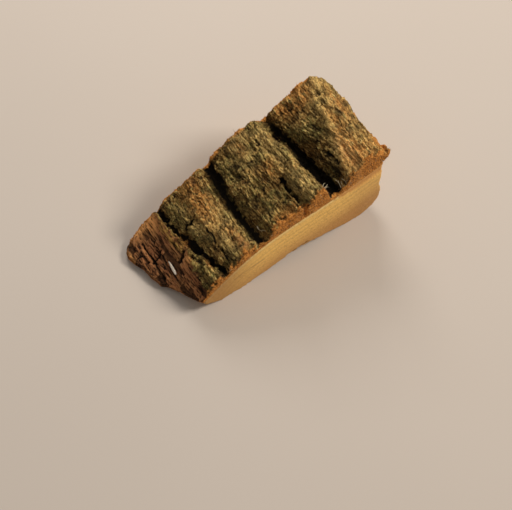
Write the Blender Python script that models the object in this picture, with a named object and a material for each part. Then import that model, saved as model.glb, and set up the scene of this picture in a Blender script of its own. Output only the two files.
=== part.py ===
"""Wood smoking chunk: a split wedge of hardwood that still carries its thick, furrowed bark.

The chunk lies on its split underside with the bark up. +X runs across the grain, from the thin end
to the thick end, +Y runs along the grain from one sawn face to the other, and +Z is up. The origin
is at the middle of the chunk's box, on the surface that it lies on.
"""

import math

import bpy
from mathutils import Vector, noise

MM = 0.001

# Driving dimensions of the whole chunk.
GRAIN_LENGTH = 38.8 * MM
BARK_GAP = 0.42 * MM
WOOD_INSET = 0.9 * MM

# The log that the chunk was split from: its radius under the bark, where its centre line ran, and
# the shallow flutes in its round. Past the thin end the round levels off into a feather edge.
LOG_RADIUS = 140.0 * MM
LOG_CENTRE_X = 44.8 * MM
LOG_CENTRE_Z = -111.2 * MM
FLUTE_DEPTH = 2.6 * MM
FLUTE_WIDTH = 80.0 * MM
FLUTE_START_X = 4.5 * MM
FEATHER_EDGE = 0.8 * MM
FEATHER_BLEND = 2.0 * MM
LEAST_WOOD = 0.6 * MM

# The chunk's two torn ends seen from above, in mm, each from the near sawn face to the far one. The
# far face isn't quite square to the grain, so the chunk is shorter there at the thin end.
THIN_END = (
    (-32.2, -24.0),
    (-33.6, -19.4),
    (-35.1, -16.2),
    (-36.2, -13.3),
    (-37.2, -10.2),
    (-38.6, -7.4),
    (-39.6, -5.3),
    (-41.4, -3.6),
    (-41.7, -1.2),
    (-42.5, 1.1),
    (-42.8, 5.2),
    (-44.3, 8.8),
    (-45.1, 12.3),
    (-44.5, 14.6),
    (-42.9, 16.6),
    (-40.0, 17.9),
)
THICK_END = (
    (41.8, -24.0),
    (42.0, -19.4),
    (42.4, -13.0),
    (41.9, -9.5),
    (42.9, -4.0),
    (43.0, 3.0),
    (42.3, 7.0),
    (42.7, 12.5),
    (41.4, 19.4),
)

# The split underside: each row is one line of fibres, as its x and its height on the near sawn face
# and then on the far one, in mm. The chunk lies on the lines at height 0.
UNDERSIDE_LINES = (
    ((-52.0, 0.4), (-52.0, 0.4)),
    ((-34.0, 4.4), (-45.0, 0.4)),
    ((-26.5, 0.0), (-39.5, 0.0)),
    ((-21.5, 0.0), (-31.5, 0.0)),
    ((-15.5, 0.0), (-22.5, 0.0)),
    ((-10.0, 1.1), (-15.5, 0.9)),
    ((-4.5, 1.5), (-7.5, 2.6)),
    ((2.5, 3.1), (0.5, 2.9)),
    ((10.5, 3.5), (9.5, 3.9)),
    ((16.5, 2.2), (15.5, 1.7)),
    ((22.5, 1.4), (21.0, 1.2)),
    ((27.5, 0.0), (27.0, 0.0)),
    ((35.5, 0.0), (36.0, 0.0)),
    ((39.6, 2.6), (39.6, 2.1)),
)
# The split thick end of the wood, from its foot up, in the same way.
THICK_END_LINES = (
    ((41.5, 6.0), (41.0, 5.0)),
    ((42.1, 10.5), (41.8, 11.0)),
    ((41.0, 15.5), (41.6, 16.0)),
    ((41.5, 20.5), (40.8, 20.5)),
    ((41.1, 25.0), (41.2, 25.0)),
)
FIBRES_PER_LINE = 3
FIBRE_RELIEF = 0.55 * MM

# Bark thickness over the ridges: thin at the thin end, thick at the thick end.
THIN_BARK = 4.4 * MM
THICK_BARK = 12.7 * MM
THICKENS_FROM_X = -20.5 * MM
THICKENS_TO_X = 31.5 * MM
LEAST_BARK = 1.3 * MM
SAWN_EDGE_ROUND = 1.8 * MM
SAWN_EDGE_DROP = 1.2 * MM
THIN_LIP_WIDTH = 4.0 * MM
THICK_LIP_WIDTH = 7.0 * MM
THICK_LIP_DROP = 4.0 * MM

# The furrows of the bark, in mm: x at the near face, a quarter of the way, halfway and so on to the
# far face, the depth, the width of the wall towards the thin end and of the wall towards the thick
# end, and the share of the depth at each of those places.
FURROWS = (
    ((-23.1, -25.0, -26.5, -28.1, -29.0), 2.4, 1.1, 1.5, (0.9, 0.7, 1.3, 1.0, 0.7)),
    ((-6.8, -7.6, -9.2, -8.4, -8.2), 6.2, 4.6, 1.9, (1.0, 1.0, 0.9, 0.85, 0.6)),
    ((20.6, 19.8, 18.6, 17.2, 15.8), 10.6, 1.7, 9.6, (1.0, 0.95, 0.85, 0.75, 0.42)),
    ((9.3, 8.6, 7.8, 7.0, 6.0), 3.6, 0.9, 1.6, (1.0, 0.75, 0.1, 0.0, 0.0)),
    ((34.4, 34.6, 35.4, 35.0, 36.0), 1.3, 1.0, 1.2, (0.5, 0.9, 0.7, 1.0, 0.4)),
)

# Beyond this line towards the thin end the outer bark has flaked off, in mm at the same places.
FLAKED_LINE = (-31.5, -31.0, -28.3, -30.0, -30.9)
FLAKED_DEPTH = 1.5 * MM
FLAKED_BLEND = 0.9 * MM

# Smaller relief: long swells and ribs along the grain, and the cracks between plates of bark.
SWELL_HEIGHT = 1.1 * MM
SWELL_ACROSS = 8.0 * MM
SWELL_ALONG = 15.0 * MM
RIB_HEIGHT = 0.8 * MM
RIB_ACROSS = 2.6 * MM
RIB_ALONG = 11.0 * MM
PLATE_ACROSS = 6.5 * MM
PLATE_ALONG = 12.0 * MM
PLATE_CRACK_DEPTH = 0.8 * MM
PLATE_CRACK_WIDTH = 0.11

# Facets of the solids.
BARK_COLUMNS = 116
BARK_ROWS = 30
WOOD_COLUMNS = 58
WOOD_ROWS = 9
OVERSIZE_X = (-52.0 * MM, 47.0 * MM)

# The flake that tore loose at the thick end of the bark, near the near face: the middle, the width
# and the height of its sections.
FLAKE_SECTIONS = (
    (Vector((38.6, -16.6, 32.4)) * MM, 4.8 * MM, 3.6 * MM),
    (Vector((42.6, -17.3, 33.0)) * MM, 4.0 * MM, 3.0 * MM),
    (Vector((45.1, -17.9, 33.4)) * MM, 2.6 * MM, 1.0 * MM),
)


def between(low, high, share):
    return low + (high - low) * share


def eased(share):
    """0 below 0, 1 above 1, and a smooth step between."""
    share = min(max(share, 0.0), 1.0)
    return share * share * (3.0 - 2.0 * share)


def along_grain(values, share):
    """The value at a share of the grain length, from values evenly spaced along it."""
    place = min(max(share, 0.0), 1.0) * (len(values) - 1)
    i = min(int(place), len(values) - 2)
    return between(values[i], values[i + 1], eased(place - i))


def grain_y(share):
    return between(-GRAIN_LENGTH / 2, GRAIN_LENGTH / 2, share)


def far_face_y(x):
    """Where the far sawn face crosses the line of fibres at x."""
    thick_x, thick_y = THICK_END[-1]
    thin_x, thin_y = THIN_END[-1]
    return between(thin_y, thick_y, (x / MM - thin_x) / (thick_x - thin_x)) * MM


def cambium_height(x):
    """Height of the wood's outer face, where the bark grows."""
    round_height = LOG_CENTRE_Z + math.sqrt(LOG_RADIUS**2 - (x - LOG_CENTRE_X) ** 2)
    flute = math.sin(2 * math.pi * (x - FLUTE_START_X) / FLUTE_WIDTH)
    above = round_height - FLUTE_DEPTH * flute - FEATHER_EDGE
    return FEATHER_EDGE + (above + math.hypot(above, FEATHER_BLEND)) / 2


def end_x(outline, y):
    """Where an end's outline, seen from above, crosses the line of fibres at y."""
    y /= MM
    for (low_x, low_y), (high_x, high_y) in zip(outline, outline[1:]):
        if y <= high_y:
            return between(low_x, high_x, (y - low_y) / (high_y - low_y)) * MM
    return outline[-1][0] * MM


def furrow_depth(x, share):
    """How deep the furrows cut at a point of the bark."""
    deepest = 0.0
    for places, depth, thin_wall, thick_wall, shares in FURROWS:
        offset = x / MM - along_grain(places, share)
        wall = thick_wall if offset > 0 else thin_wall
        here = depth * along_grain(shares, share)
        deepest = max(deepest, here * math.exp(-abs(offset / wall) ** 1.7))
    return deepest * MM


def plate_crack(x, y):
    """1 on the cracks between plates of bark and 0 on the plates."""
    place = Vector((x / PLATE_ACROSS, y / PLATE_ALONG, 2.3))
    near, next_near = noise.voronoi(place)[0][:2]
    return math.exp(-(((next_near - near) / PLATE_CRACK_WIDTH) ** 2))


def bark_thickness(x, share):
    """Thickness of the bark above a point of the wood's outer face."""
    y = grain_y(share)
    growth = eased((x - THICKENS_FROM_X) / (THICKENS_TO_X - THICKENS_FROM_X))
    crest = between(THIN_BARK, THICK_BARK, growth)
    from_thick_end = end_x(THICK_END, y) - x
    crest -= THICK_LIP_DROP * (1 - eased(from_thick_end / THICK_LIP_WIDTH)) ** 2
    flaked = eased((along_grain(FLAKED_LINE, share) * MM - x) / FLAKED_BLEND)
    crest -= FLAKED_DEPTH * flaked
    crest *= between(0.6, 1.0, eased((x - end_x(THIN_END, y)) / THIN_LIP_WIDTH))
    from_saw = min(GRAIN_LENGTH / 2 + y, far_face_y(x) - y)
    crest -= SAWN_EDGE_DROP * (1 - eased(from_saw / SAWN_EDGE_ROUND))
    relief = SWELL_HEIGHT * noise.noise(Vector((x / SWELL_ACROSS, y / SWELL_ALONG, 3.7)))
    relief += RIB_HEIGHT * noise.noise(Vector((x / RIB_ACROSS, y / RIB_ALONG, 8.1)))
    relief -= PLATE_CRACK_DEPTH * plate_crack(x, y) * between(1.0, 0.5, growth)
    relief *= between(1.0, 0.45, flaked)
    return max(crest - furrow_depth(x, share) + relief, LEAST_BARK)


def new_object(name, points, faces, material):
    mesh = bpy.data.meshes.new(name)
    mesh.from_pydata(points, [], faces)
    mesh.validate()
    if material:
        mesh.materials.append(material)
    obj = bpy.data.objects.new(name, mesh)
    bpy.context.scene.collection.objects.link(obj)
    return obj


def new_material(name, colour, roughness):
    material = bpy.data.materials.new(name)
    material.use_nodes = True
    shader = material.node_tree.nodes["Principled BSDF"]
    shader.inputs["Base Color"].default_value = (*colour, 1.0)
    shader.inputs["Roughness"].default_value = roughness
    shader.inputs["Metallic"].default_value = 0.0
    return material


def combine(obj, operation, helper):
    """Cuts the object by the helper, or joins them, and leaves the helper out of the chunk."""
    helper.hide_render = True
    helper.display_type = "WIRE"
    modifier = obj.modifiers.new(helper.name, "BOOLEAN")
    modifier.operation = operation
    modifier.solver = "EXACT"
    modifier.object = helper


def torn_outline(name, inset):
    """An upright prism whose walls are the chunk's two torn ends."""
    near_to_far = [(x * MM, y * MM) for x, y in THICK_END]
    far_to_near = [(x * MM + inset, y * MM) for x, y in reversed(THIN_END)]
    outline = near_to_far + far_to_near
    count = len(outline)
    points = [(x, y, z) for z in (-10.0 * MM, 70.0 * MM) for x, y in outline]
    faces = [tuple(reversed(range(count))), tuple(range(count, 2 * count))]
    for i in range(count):
        beside = (i + 1) % count
        faces.append((i, beside, count + beside, count + i))
    return new_object(name, points, faces, None)


def split_face(lines, share):
    """The points of a split face at a share of the grain, with raised fibres between its lines."""
    y = grain_y(share)
    main = []
    for near, far in lines:
        x, z = (between(a, b, share) * MM for a, b in zip(near, far))
        main.append(Vector((x, y, z)))
    points = []
    for here, beside in zip(main, main[1:]):
        for i in range(FIBRES_PER_LINE):
            point = here.lerp(beside, i / FIBRES_PER_LINE)
            place = Vector((point.x / (3.0 * MM), y / (22.0 * MM), point.z / (3.0 * MM)))
            point.z += FIBRE_RELIEF * min(point.z / MM, 1.0) * noise.noise(place)
            points.append(point)
    points.append(main[-1])
    return points


def wood_section(share):
    """The wood's outline across the grain, anticlockwise seen from the near face."""
    points = []
    for x, y, z in split_face(UNDERSIDE_LINES, share):
        points.append((x, y, min(z, cambium_height(x) - LEAST_WOOD)))
    thick_end = split_face(THICK_END_LINES, share)
    points += [tuple(point) for point in thick_end]
    corner_x = thick_end[-1].x
    points.append((corner_x, y, cambium_height(corner_x)))
    for i in reversed(range(WOOD_COLUMNS + 1)):
        x = between(*OVERSIZE_X, i / WOOD_COLUMNS)
        if x < 40.5 * MM:
            points.append((x, y, cambium_height(x)))
    return points


def build_wood():
    """The split wedge: one section for each row, skinned along the grain and closed by sawn faces."""
    points = []
    for row in range(WOOD_ROWS):
        points += wood_section(row / (WOOD_ROWS - 1))
    around = len(points) // WOOD_ROWS
    faces = [tuple(range(around))]
    for row in range(WOOD_ROWS - 1):
        for i in range(around):
            here, beside = row * around + i, row * around + (i + 1) % around
            faces.append((here, here + around, beside + around, beside))
    last = (WOOD_ROWS - 1) * around
    faces.append(tuple(reversed(range(last, last + around))))
    return new_object("wood", points, faces, new_material("sapwood", (0.46, 0.25, 0.085), 0.7))


def build_bark():
    """The bark slab: a ridged outer face over an inner face that follows the wood."""
    xs = [between(*OVERSIZE_X, column / BARK_COLUMNS) for column in range(BARK_COLUMNS + 1)]
    shares = [row / BARK_ROWS for row in range(BARK_ROWS + 1)]
    points = [
        (x, grain_y(share), cambium_height(x) + BARK_GAP + bark_thickness(x, share))
        for share in shares
        for x in xs
    ]
    width = len(xs)
    near, far = len(points), len(points) + width
    for share in (0.0, 1.0):
        points += [(x, grain_y(share), cambium_height(x) + BARK_GAP) for x in xs]
    faces = []
    for row in range(BARK_ROWS):
        for column in range(BARK_COLUMNS):
            a = row * width + column
            faces.append((a, a + 1, a + width + 1, a + width))
    for column in range(BARK_COLUMNS):
        faces.append((near + column, far + column, far + column + 1, near + column + 1))
    last = BARK_ROWS * width
    faces.append(tuple(range(near, near + width)) + tuple(reversed(range(width))))
    faces.append(tuple(reversed(range(far, far + width))) + tuple(range(last, last + width)))
    thin_side = [row * width for row in range(BARK_ROWS + 1)]
    faces.append((far, near, *thin_side))
    thick_side = [row * width + width - 1 for row in reversed(range(BARK_ROWS + 1))]
    faces.append((near + width - 1, far + width - 1, *thick_side))
    return new_object("bark", points, faces, new_material("bark", (0.12, 0.08, 0.035), 0.9))


def build_flake():
    """The torn flake, as four-cornered sections joined in a row."""
    points = []
    for centre, width, height in FLAKE_SECTIONS:
        for y, z in ((-1, -1), (1, -1), (1, 1), (-1, 1)):
            points.append(centre + Vector((0.0, y * width / 2, z * height / 2)))
    faces = [(3, 2, 1, 0)]
    for section in range(len(FLAKE_SECTIONS) - 1):
        for i in range(4):
            here, beside = 4 * section + i, 4 * section + (i + 1) % 4
            faces.append((here, beside, beside + 4, here + 4))
    faces.append(tuple(range(len(points) - 4, len(points))))
    return new_object("flake", points, faces, None)


def main():
    for obj in list(bpy.data.objects):
        bpy.data.objects.remove(obj)
    combine(build_wood(), "INTERSECT", torn_outline("torn_wood", WOOD_INSET))
    bark = build_bark()
    combine(bark, "INTERSECT", torn_outline("torn_bark", 0.0))
    combine(bark, "UNION", build_flake())


main()
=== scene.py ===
# %% [markdown]
# # A wood smoking chunk, dressed as a lesson in cells
#
# The chunk is a split wedge of hardwood with its thick, furrowed bark still on. Sawing made its two
# long flat faces, splitting made its underside and its thick end, and the bark grew. Each of those
# surfaces gets its own shape and finish here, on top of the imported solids, which fix every size.
# Blender's own lengths are in metres. Arrays of points and the places of marks are in mm. +X runs
# across the grain, +Y along it, and +Z is up.

import math

import bmesh
import bpy
import numpy as np
from mathutils import Matrix, Vector, noise


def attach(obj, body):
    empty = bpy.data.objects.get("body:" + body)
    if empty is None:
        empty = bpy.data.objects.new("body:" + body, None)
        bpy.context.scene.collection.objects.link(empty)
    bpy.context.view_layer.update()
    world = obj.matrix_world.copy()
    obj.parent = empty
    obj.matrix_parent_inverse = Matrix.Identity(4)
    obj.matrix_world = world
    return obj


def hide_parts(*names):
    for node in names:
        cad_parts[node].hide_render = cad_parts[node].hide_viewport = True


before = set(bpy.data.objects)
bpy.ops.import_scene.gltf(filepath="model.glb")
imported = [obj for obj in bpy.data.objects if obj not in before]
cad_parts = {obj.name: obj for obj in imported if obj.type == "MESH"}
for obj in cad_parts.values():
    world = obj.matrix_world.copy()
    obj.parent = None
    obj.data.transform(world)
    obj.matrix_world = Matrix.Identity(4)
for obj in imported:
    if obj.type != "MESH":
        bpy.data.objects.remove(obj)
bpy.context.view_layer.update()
MM = 0.001


# %% [markdown]
# ## The camera
# The view is from high above the near left, with a long lens, so that parallel edges stay almost
# parallel. A camera can be turned by angles or by a matrix. A matrix is used here, because its three
# columns are simply the directions that are right, up and back in the picture.

# %% Place the camera
CAMERA_PLACE = Vector((-128.0, -189.8, 416.3)) * MM
CAMERA_BACK = Vector((-0.26, -0.38, 0.8877))
LENS_MM = 91.76
NEAREST_SEEN = 0.01


def place_camera():
    back = CAMERA_BACK.normalized()
    right = Vector((0.0, 0.0, 1.0)).cross(back).normalized()
    up = back.cross(right)
    data = bpy.data.cameras.new("camera")
    data.lens = LENS_MM
    data.sensor_fit = "HORIZONTAL"
    data.clip_start = NEAREST_SEEN
    camera = bpy.data.objects.new("camera", data)
    turn = Matrix((right, up, back)).transposed().to_4x4()
    camera.matrix_world = Matrix.Translation(CAMERA_PLACE) @ turn
    bpy.context.scene.collection.objects.link(camera)
    bpy.context.scene.camera = camera


place_camera()
print("camera looks down by", round(math.degrees(math.asin(CAMERA_BACK.normalized().z)), 1), "degrees")

# %% [markdown]
# ## The shape of the log
# Bark thickness is measured from the cambium, the round surface between bark and wood. Its height
# across the chunk follows the same rule as the solids do, so a height above it tells at any point how
# thick the bark is, and a depth below it tells which growth ring the wood belongs to.

# %% Height of the cambium, and of the bark's crests above it
LOG_RADIUS = 140.0
LOG_CENTRE = (44.8, -111.2)
WAVE_HEIGHT, WAVE_START, WAVE_LENGTH = 2.6, 4.5, 80.0
THINNEST_WOOD, ROUNDING = 0.8, 2.0
THIN_BARK, ADDED_BARK = 4.4, 8.3
HALF_GRAIN = 19.4
FAR_FACE_AT_THIN_END, FAR_FACE_SLANT = 17.9, 1.5


def eased(share):
    """0 below 0, 1 above 1, and a smooth step between, for a whole array."""
    share = np.clip(share, 0.0, 1.0)
    return share * share * (3.0 - 2.0 * share)


def cambium_height(x):
    """Height of the border between wood and bark, in mm, for x in mm."""
    arc = LOG_CENTRE[1] + np.sqrt(LOG_RADIUS**2 - (x - LOG_CENTRE[0]) ** 2)
    above = arc - WAVE_HEIGHT * np.sin(2 * np.pi * (x - WAVE_START) / WAVE_LENGTH) - THINNEST_WOOD
    return THINNEST_WOOD + (above + np.hypot(above, ROUNDING)) / 2


def crest_thickness(x):
    """Thickness of the bark over its ridges, in mm. It grows towards the thick end."""
    return THIN_BARK + ADDED_BARK * eased((x + 20.5) / 52.0)


def far_face(x):
    """Where the slightly slanted far sawn face crosses the fibre at x, in mm."""
    return FAR_FACE_AT_THIN_END + FAR_FACE_SLANT * (x + 40.0) / 81.4


def from_sawn_face(x, y):
    """How far a point is from the nearer sawn face, in mm."""
    return np.minimum(HALF_GRAIN + y, far_face(x) - y)


for x in (-30.0, 0.0, 30.0):
    print("at x", x, "the cambium is", round(float(cambium_height(x)), 1), "mm up and a ridge",
          round(float(crest_thickness(x)), 1), "mm thick")

# %% [markdown]
# ## Helpers for a dense surface
# The solids have large facets. For the look, a copy is merged, rebuilt as an even skin of small
# squares by a voxel Remesh, and then each point moves a little along its normal. Moving points in
# code, rather than with a Displace modifier, lets one mask drive both the relief and the colour.

# %% Make meshes, and bake modifiers into them
def link_mesh(name, mesh):
    obj = bpy.data.objects.new(name, mesh)
    bpy.context.scene.collection.objects.link(obj)
    return obj


def mesh_of(build, name):
    """The bmesh as a mesh. The bmesh is freed."""
    mesh = bpy.data.meshes.new(name)
    build.to_mesh(mesh)
    build.free()
    return mesh


def baked(obj):
    """The object's mesh with its modifiers worked in. The object itself is removed."""
    bpy.context.view_layer.update()
    graph = bpy.context.evaluated_depsgraph_get()
    mesh = bpy.data.meshes.new_from_object(obj.evaluated_get(graph), depsgraph=graph)
    bpy.data.objects.remove(obj)
    return mesh


for node in ("bark", "wood"):
    print(node, "solid:", len(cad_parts[node].data.polygons), "large facets")

# %% Rebuild a solid as small squares, and read its points
VOXEL_BARK = 0.35 * MM
VOXEL_WOOD = 0.42 * MM
SAME_POINT = 2e-6


def dense_copy(node, voxel, move=None):
    """A merged copy of a solid, rebuilt from small squares."""
    build = bmesh.new()
    build.from_mesh(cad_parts[node].data)
    bmesh.ops.remove_doubles(build, verts=build.verts, dist=SAME_POINT)
    build.normal_update()
    if move:
        move(build)
    obj = link_mesh("rough " + node, mesh_of(build, node))
    remesh = obj.modifiers.new("even skin", "REMESH")
    remesh.mode = "VOXEL"
    remesh.voxel_size = voxel
    remesh.adaptivity = 0.0
    mesh = baked(obj)
    mesh.materials.clear()
    mesh.name = node
    return mesh


def points_of(mesh):
    """Points and normals as arrays, the points in mm."""
    points = np.empty(len(mesh.vertices) * 3)
    mesh.vertices.foreach_get("co", points)
    normals = np.array([v.vector for v in mesh.vertex_normals])
    return points.reshape(-1, 3) / MM, normals


def set_points(mesh, points):
    mesh.vertices.foreach_set("co", (points * MM).ravel())
    mesh.update()


def set_masks(mesh, masks):
    """Stores one number a point under each name, which a material can read by that name."""
    for name, values in masks.items():
        mask = mesh.attributes.new(name, "FLOAT", "POINT")
        mask.data.foreach_set("value", np.asarray(values, np.float32))


print("new squares: bark", round(VOXEL_BARK / MM, 2), "mm, wood", round(VOXEL_WOOD / MM, 2), "mm")

# %% Noise that knows the grain
def grain_noise(points, across, along, seed, octaves=1):
    """Smooth noise, about -0.5 to 0.5, drawn out along the grain. Lengths in mm."""
    shift = np.array((seed * 7.13, seed * 3.7, seed * 5.9))
    places = points / np.array((across, along, across)) + shift
    return np.array([noise.fractal(place, 1.0, 2.0, octaves) for place in places.tolist()])


def blocks(points, across, along, seed):
    """A level from -0.5 to 0.5 for each strand-shaped block, with steps between the blocks."""
    warp = 0.5 * grain_noise(points, 2.5, 9.0, seed)
    strand = points[:, 0] / across + warp + points[:, 2] * 0.25 / across
    run = points[:, 1] / along + 3.7 * np.sin(7.7 * np.floor(strand))
    spots = np.stack((strand, run, np.full(len(points), seed + 0.5)), 1)
    return np.array([noise.cell(spot) for spot in spots.tolist()]) - 0.5


sample = grain_noise(np.array([(0.0, 0.0, 30.0), (1.0, 0.0, 30.0), (0.0, 1.0, 30.0)]), 0.9, 8.5, 4)
print("noise at a point, 1 mm across the grain, and 1 mm along it:", sample.round(2).tolist())

# %% Marks: lines, paths and patches
def thin_lines(values, width):
    """1 where a noise crosses 0, falling away to both sides: narrow cracks."""
    return np.exp(-((values / width) ** 2))


def along_line(values, y):
    """A line's x at each y, from its x at evenly spaced places from the near face to the far one."""
    return np.interp(y, np.linspace(-HALF_GRAIN, HALF_GRAIN, len(values)), values)


def near_path(points, path, width):
    """1 on a path seen from above, falling away over its width. Path points are (x, y)."""
    best = np.full(len(points), 1e9)
    for a, b in zip(np.array(path[:-1], float), np.array(path[1:], float)):
        share = np.clip((points[:, :2] - a) @ (b - a) / ((b - a) @ (b - a)), 0, 1)
        away = points[:, :2] - a - share[:, None] * (b - a)
        best = np.minimum(best, np.linalg.norm(away, axis=1))
    return np.exp(-((best / width) ** 2))


def patch(points, x, y, across, along):
    """1 in the middle of an oval patch, and 0 well outside it."""
    return np.exp(-(((points[:, 0] - x) / across) ** 2) - ((points[:, 1] - y) / along) ** 2)


def patches(points, spots):
    return sum(patch(points, *spot) for spot in spots)


middle_and_rim = patch(np.array([(0.0, 0.0, 0.0), (2.0, 0.0, 0.0)]), 0.0, 0.0, 2.0, 5.0)
print("a patch in its middle and at its stated reach:", middle_and_rim.round(2).tolist())

# %% [markdown]
# ## The bark's relief
# Old bark is a stack of corky scales that the growing trunk tears into ridges, with dark furrows
# between them. At the thin end the outer layers have flaked off, which bares a smoother brown layer
# with long splits along the grain and a few cracks across it. The ridges and furrows come from the
# solid. This step adds what is finer: lumps, grains, fibres, splits and the marks seen on this piece.

# %% Where the marks of this piece are
# A line is its x at even steps from the near face to the far one, and a path is its points (x, y).
# The two numbers after it are its width and its depth or height. A patch is the x and y of its
# middle and its reach across and along the grain.
FLAKED_LINE = (-31.5, -31.0, -28.3, -30.0, -30.9)
FURROW_LINES = (
    ((-23.1, -25.0, -26.5, -28.1, -29.0), 0.65, 0.7),
    ((-8.2, -9.0, -9.4, -8.1, -7.2), 1.4, 1.5),
    ((22.0, 22.0, 20.6, 19.5, 17.6), 1.3, 1.6),
)
CRACKS = (
    (((-38.4, 13.1), (-38.7, 6.0), (-38.9, 3.7), (-39.4, -5.4)), 0.32, 0.7),
    (((-35.4, 12.3), (-35.6, 6.6), (-35.9, 1.0)), 0.25, 0.5),
    (((-34.9, 5.9), (-36.8, 4.6), (-39.5, 4.2)), 0.35, 0.7),
    (((-40.3, 9.6), (-41.6, 9.2), (-43.5, 9.0)), 0.3, 0.5),
    (((-29.6, -0.6), (-30.4, -2.0), (-32.8, -2.7)), 0.45, 0.9),
    (((-26.0, 2.6), (-25.2, 4.6), (-23.4, 3.9), (-21.8, 4.3)), 0.36, 0.9),
    (((-26.2, -1.4), (-26.4, -5.6)), 1.2, 1.3),
    (((-20.6, -2.4), (-20.2, -5.5), (-20.8, -8.4)), 0.5, 0.7),
    (((-24.7, -10.0), (-24.9, -13.2)), 0.5, 0.9),
    (((-20.6, -11.3), (-20.9, -16.2)), 0.5, 0.8),
    (((8.2, -4.8), (8.6, -8.0), (8.7, -10.4)), 0.45, 1.0),
    (((8.5, -12.0), (8.7, -15.0), (9.2, -19.4)), 0.75, 1.9),
    (((10.6, -9.5), (11.0, -13.0)), 0.4, 0.9),
    (((27.2, -6.0), (27.8, -13.0)), 0.4, 0.5),
)
LIP = ((-30.6, 12.0), (-30.7, 9.6), (-30.6, 4.4), (-29.9, -0.6))
CREST = ((33.4, 10.0), (32.8, 0.2), (32.0, -5.2), (30.6, -9.5), (29.0, -13.9), (28.2, -17.8))
RIDGES = (
    (LIP, 0.5, 0.4),
    (CREST, 0.9, 0.8),
    (((12.0, -2.0), (12.6, -9.0), (13.0, -18.0)), 1.4, 0.6),
    (((-11.6, 14.0), (-12.2, 2.0), (-10.8, -8.0)), 1.2, 0.4),
    (((-10.9, 17.0), (-11.7, 8.0), (-12.1, 0.0), (-11.4, -10.0), (-10.9, -18.0)), 1.3, 1.2),
)
BARE = ((-14.8, 16.0, 1.9, 2.8), (-14.0, -14.3, 1.9, 3.6), (-32.5, -10.5, 2.0, 5.0))
WORN_CORNER = (-31.2, 17.8, 2.2, 2.2)
SWELLING = (30.6, -14.5, 2.3, 4.8)
TORN_TONGUE = (43.6, -15.0, 2.2, 4.5)
# Painted light: the next patch colours the lit shoulder of the last ridge like the cut bark, so that it reads
# light.
LIT_SHOULDER_PATCH = (31.0, -14.6, 2.7, 4.6)
print("marks:", len(FURROW_LINES), "furrows,", len(CRACKS), "cracks,", len(RIDGES), "raised lines and",
      len(BARE), "bare patches")

# %% Which part of the bark a point is on
def bark_parts(points, normals):
    """For each point, how much of each part of the bark it is, from 0 to 1, and two noises."""
    x, y, z = points.T
    above = z - cambium_height(x)
    crest = crest_thickness(x)
    wobble = grain_noise(points, 1.3, 1.3, 1, 2)
    ragged = grain_noise(points, 3.0, 3.0, 15, 2)
    outer = eased((above - 0.5) / 0.7)
    flaked = eased((along_line(FLAKED_LINE, y) + 0.5 - x + 1.1 * wobble + 1.0 * ragged) / 0.7)
    sawn = eased((np.abs(normals[:, 1]) - 0.38 + 0.45 * wobble + 0.25 * ragged) / 0.25)
    sawn *= eased((np.where(y < 0, 2.2, 1.3) - from_sawn_face(x, y) + 0.8 * ragged) / 0.8)
    ends = eased((np.abs(normals[:, 0]) - 0.6 + 0.3 * wobble) / 0.3)
    thin_end = eased((-38.7 - 0.28 * (y + 5) - x) / 0.8) * eased((y - 8.0) / 3.0)
    thick_end = eased((x - 40.6) / 0.8) * eased(0.45 + 1.6 * ragged + (33.5 - z) / 4.0)
    return {
        "above": above,
        "sunk": np.clip((crest - above) / np.maximum(crest * 0.85, 3.0), 0, 1),
        "wobble": wobble,
        "ragged": ragged,
        "outer": outer,
        "flaked": flaked,
        "sawn": sawn,
        "torn": ends * np.maximum(thick_end, 0.6 * thin_end),
        "rough": (1 - sawn) * (1 - flaked) * outer,
    }


upright = np.array([(0.0, 0.0, 1.0)])
ridge_top = np.array([(5.0, 0.0, cambium_height(5.0) + crest_thickness(5.0))])
found = bark_parts(ridge_top, upright)
print("on top of the third ridge:", {name: round(float(values[0]), 2) for name, values in found.items()})

# %% Relief that grew, flaked or was torn
def grown_relief(points, part):
    """Moves along the normal, where each factor is a height in mm, and the masks that go with them."""
    rough, flaked, sawn, ragged = part["rough"], part["flaked"], part["sawn"], part["ragged"]
    lumps = grain_noise(points, 2.3, 5.5, 2, 2)
    grains = grain_noise(points, 0.52, 1.2, 3, 2)
    fibres = 0.5 - np.abs(grain_noise(points, 0.95, 8.5, 4, 2)) * 2
    splits = thin_lines(grain_noise(points, 2.4, 8.0, 5, 3), 0.045)
    plates = blocks(points, 3.1, 7.5, 21)
    bare = np.clip(patches(points, BARE), 0, 1) * eased(1.0 + 1.6 * ragged)
    move = rough * (0.6 * lumps + 0.5 * fibres - 0.65 * splits + 0.55 * plates + 0.24 * grains * (1 - bare))

    layers = grain_noise(points, 3.4, 15.0, 6, 2)
    steps = blocks(points, 1.7, 5.5, 22)
    fissures = np.maximum(thin_lines(grain_noise(points, 0.85, 22.0, 7, 1), 0.05),
                          thin_lines(grain_noise(points, 1.1, 16.0, 17, 1), 0.04))
    threads = grain_noise(points, 0.5, 9.0, 8, 1)
    move += flaked * (1 - sawn) * (0.3 * layers + 0.2 * threads - 0.45 * fissures + 0.45 * steps)

    crumbled = 0.3 * grains + 0.3 * grain_noise(points, 0.6, 0.6, 9, 2) + 0.3 * ragged
    move += (sawn + part["torn"] * 0.6) * crumbled * part["outer"]
    masks = {"bare": bare, "splits": np.clip(np.maximum(fissures * flaked, splits * rough), 0, 1)}
    return move, masks


grown = grown_relief(ridge_top, found)
print("there the skin moves by", round(float(grown[0][0]), 2), "mm")

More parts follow.
